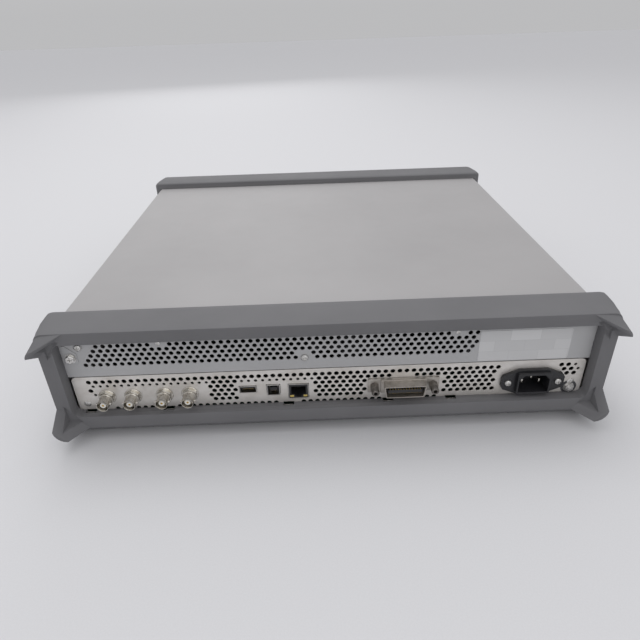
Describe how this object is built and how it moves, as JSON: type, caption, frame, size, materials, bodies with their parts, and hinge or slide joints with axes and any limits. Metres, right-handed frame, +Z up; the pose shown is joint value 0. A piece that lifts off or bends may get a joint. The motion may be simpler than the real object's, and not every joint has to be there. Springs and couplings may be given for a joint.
{
  "type": "function generator",
  "caption": "Full-rack-width, two-unit-high bench function generator with corner bumpers, perforated rear panels and signal, data and mains connectors.",
  "frame": {"origin": "middle of the resting face, under the two bumpers", "axes": "+Z up, front panel towards -Y, rear panel with the connectors towards +Y, +X to the right seen from the front"},
  "size_m": [0.4396, 0.446, 0.1033],
  "materials": {
    "cover_paint": "warm light grey, fine texture",
    "panel_paint": "smooth mid grey",
    "zinc_plate": "bare zinc-plated sheet",
    "bumper_rubber": "moulded, matt dark grey",
    "nickel": "satin nickel plate",
    "steel": "bright",
    "heat_sink_metal": "extruded, anodised",
    "black_plastic": "black moulding",
    "bezel_plastic": "painted moulding",
    "window": "tinted clear window",
    "board": "green laminate",
    "key_rubber": "light grey keys",
    "dark_key": "dark grey keys and knob"
  },
  "bodies": {
    "chassis": {"top_cover": "cover_paint", "chassis_tray": "zinc_plate", "rear_panel_upper": "panel_paint", "rear_panel_lower": "zinc_plate", "rear_bumper": "bumper_rubber", "front_bumper": "bumper_rubber", "front_panel": "bezel_plastic", "display_window": "window", "display_module": "black_plastic", "main_board": "board", "front_board": "board", "power_supply": "zinc_plate", "shield_can": "zinc_plate", "heat_sink": "heat_sink_metal", "fan_frame": "black_plastic", "ac_inlet": "black_plastic", "inlet_screw_left": "steel", "inlet_screw_right": "steel", "bnc_rear_1": "nickel", "bnc_rear_2": "nickel", "bnc_rear_3": "nickel", "bnc_rear_4": "nickel", "usb_a_rear": "steel", "usb_b_rear": "steel", "lan_jack": "steel", "gpib_connector": "nickel", "gpib_post_left": "steel", "gpib_post_right": "steel", "ground_stud": "steel", "panel_screw_centre": "steel", "panel_screw_corner": "steel", "captive_screw": "steel", "knob_encoder": "steel", "bnc_front_1": "nickel", "bnc_front_2": "nickel", "bnc_front_3": "nickel", "bnc_front_4": "nickel", "usb_a_front": "steel"},
    "tuning_knob": {"tuning_knob": "dark_key"},
    "fan_rotor": {"fan_rotor": "black_plastic"},
    "softkey_1": {"softkey_1": "dark_key"},
    "softkey_2": {"softkey_2": "dark_key"},
    "softkey_3": {"softkey_3": "dark_key"},
    "softkey_4": {"softkey_4": "dark_key"},
    "softkey_5": {"softkey_5": "dark_key"},
    "key_7": {"key_7": "key_rubber"},
    "key_8": {"key_8": "key_rubber"},
    "key_9": {"key_9": "key_rubber"},
    "key_4": {"key_4": "key_rubber"},
    "key_5": {"key_5": "key_rubber"},
    "key_6": {"key_6": "key_rubber"},
    "key_1": {"key_1": "key_rubber"},
    "key_2": {"key_2": "key_rubber"},
    "key_3": {"key_3": "key_rubber"},
    "key_0": {"key_0": "key_rubber"},
    "key_point": {"key_point": "key_rubber"},
    "key_sign": {"key_sign": "key_rubber"},
    "output_key_1": {"output_key_1": "key_rubber"},
    "output_key_2": {"output_key_2": "key_rubber"},
    "power_button": {"power_button": "key_rubber"}
  },
  "joints": [
    {"name": "knob_turn", "type": "hinge", "parent": "chassis", "child": "tuning_knob", "pos_m": [0.084, -0.2085, 0.06465], "axis": [0, -1, 0], "continuous": true},
    {"name": "fan_spin", "type": "hinge", "parent": "chassis", "child": "fan_rotor", "pos_m": [-0.02, 0.161, 0.0566], "axis": [0, 1, 0], "continuous": true},
    {"name": "softkey_1_press", "type": "slide", "parent": "chassis", "child": "softkey_1", "axis": [0, 1, 0], "range_m": [0, 0.0015], "stiffness_N_per_m": 600, "springref_m": -0.0005},
    {"name": "softkey_2_press", "type": "slide", "parent": "chassis", "child": "softkey_2", "axis": [0, 1, 0], "range_m": [0, 0.0015], "stiffness_N_per_m": 600, "springref_m": -0.0005},
    {"name": "softkey_3_press", "type": "slide", "parent": "chassis", "child": "softkey_3", "axis": [0, 1, 0], "range_m": [0, 0.0015], "stiffness_N_per_m": 600, "springref_m": -0.0005},
    {"name": "softkey_4_press", "type": "slide", "parent": "chassis", "child": "softkey_4", "axis": [0, 1, 0], "range_m": [0, 0.0015], "stiffness_N_per_m": 600, "springref_m": -0.0005},
    {"name": "softkey_5_press", "type": "slide", "parent": "chassis", "child": "softkey_5", "axis": [0, 1, 0], "range_m": [0, 0.0015], "stiffness_N_per_m": 600, "springref_m": -0.0005},
    {"name": "key_7_press", "type": "slide", "parent": "chassis", "child": "key_7", "axis": [0, 1, 0], "range_m": [0, 0.0015], "stiffness_N_per_m": 600, "springref_m": -0.0005},
    {"name": "key_8_press", "type": "slide", "parent": "chassis", "child": "key_8", "axis": [0, 1, 0], "range_m": [0, 0.0015], "stiffness_N_per_m": 600, "springref_m": -0.0005},
    {"name": "key_9_press", "type": "slide", "parent": "chassis", "child": "key_9", "axis": [0, 1, 0], "range_m": [0, 0.0015], "stiffness_N_per_m": 600, "springref_m": -0.0005},
    {"name": "key_4_press", "type": "slide", "parent": "chassis", "child": "key_4", "axis": [0, 1, 0], "range_m": [0, 0.0015], "stiffness_N_per_m": 600, "springref_m": -0.0005},
    {"name": "key_5_press", "type": "slide", "parent": "chassis", "child": "key_5", "axis": [0, 1, 0], "range_m": [0, 0.0015], "stiffness_N_per_m": 600, "springref_m": -0.0005},
    {"name": "key_6_press", "type": "slide", "parent": "chassis", "child": "key_6", "axis": [0, 1, 0], "range_m": [0, 0.0015], "stiffness_N_per_m": 600, "springref_m": -0.0005},
    {"name": "key_1_press", "type": "slide", "parent": "chassis", "child": "key_1", "axis": [0, 1, 0], "range_m": [0, 0.0015], "stiffness_N_per_m": 600, "springref_m": -0.0005},
    {"name": "key_2_press", "type": "slide", "parent": "chassis", "child": "key_2", "axis": [0, 1, 0], "range_m": [0, 0.0015], "stiffness_N_per_m": 600, "springref_m": -0.0005},
    {"name": "key_3_press", "type": "slide", "parent": "chassis", "child": "key_3", "axis": [0, 1, 0], "range_m": [0, 0.0015], "stiffness_N_per_m": 600, "springref_m": -0.0005},
    {"name": "key_0_press", "type": "slide", "parent": "chassis", "child": "key_0", "axis": [0, 1, 0], "range_m": [0, 0.0015], "stiffness_N_per_m": 600, "springref_m": -0.0005},
    {"name": "key_point_press", "type": "slide", "parent": "chassis", "child": "key_point", "axis": [0, 1, 0], "range_m": [0, 0.0015], "stiffness_N_per_m": 600, "springref_m": -0.0005},
    {"name": "key_sign_press", "type": "slide", "parent": "chassis", "child": "key_sign", "axis": [0, 1, 0], "range_m": [0, 0.0015], "stiffness_N_per_m": 600, "springref_m": -0.0005},
    {"name": "output_key_1_press", "type": "slide", "parent": "chassis", "child": "output_key_1", "axis": [0, 1, 0], "range_m": [0, 0.0015], "stiffness_N_per_m": 600, "springref_m": -0.0005},
    {"name": "output_key_2_press", "type": "slide", "parent": "chassis", "child": "output_key_2", "axis": [0, 1, 0], "range_m": [0, 0.0015], "stiffness_N_per_m": 600, "springref_m": -0.0005},
    {"name": "power_button_press", "type": "slide", "parent": "chassis", "child": "power_button", "axis": [0, 1, 0], "range_m": [0, 0.0015], "stiffness_N_per_m": 600, "springref_m": -0.0005}
  ]
}
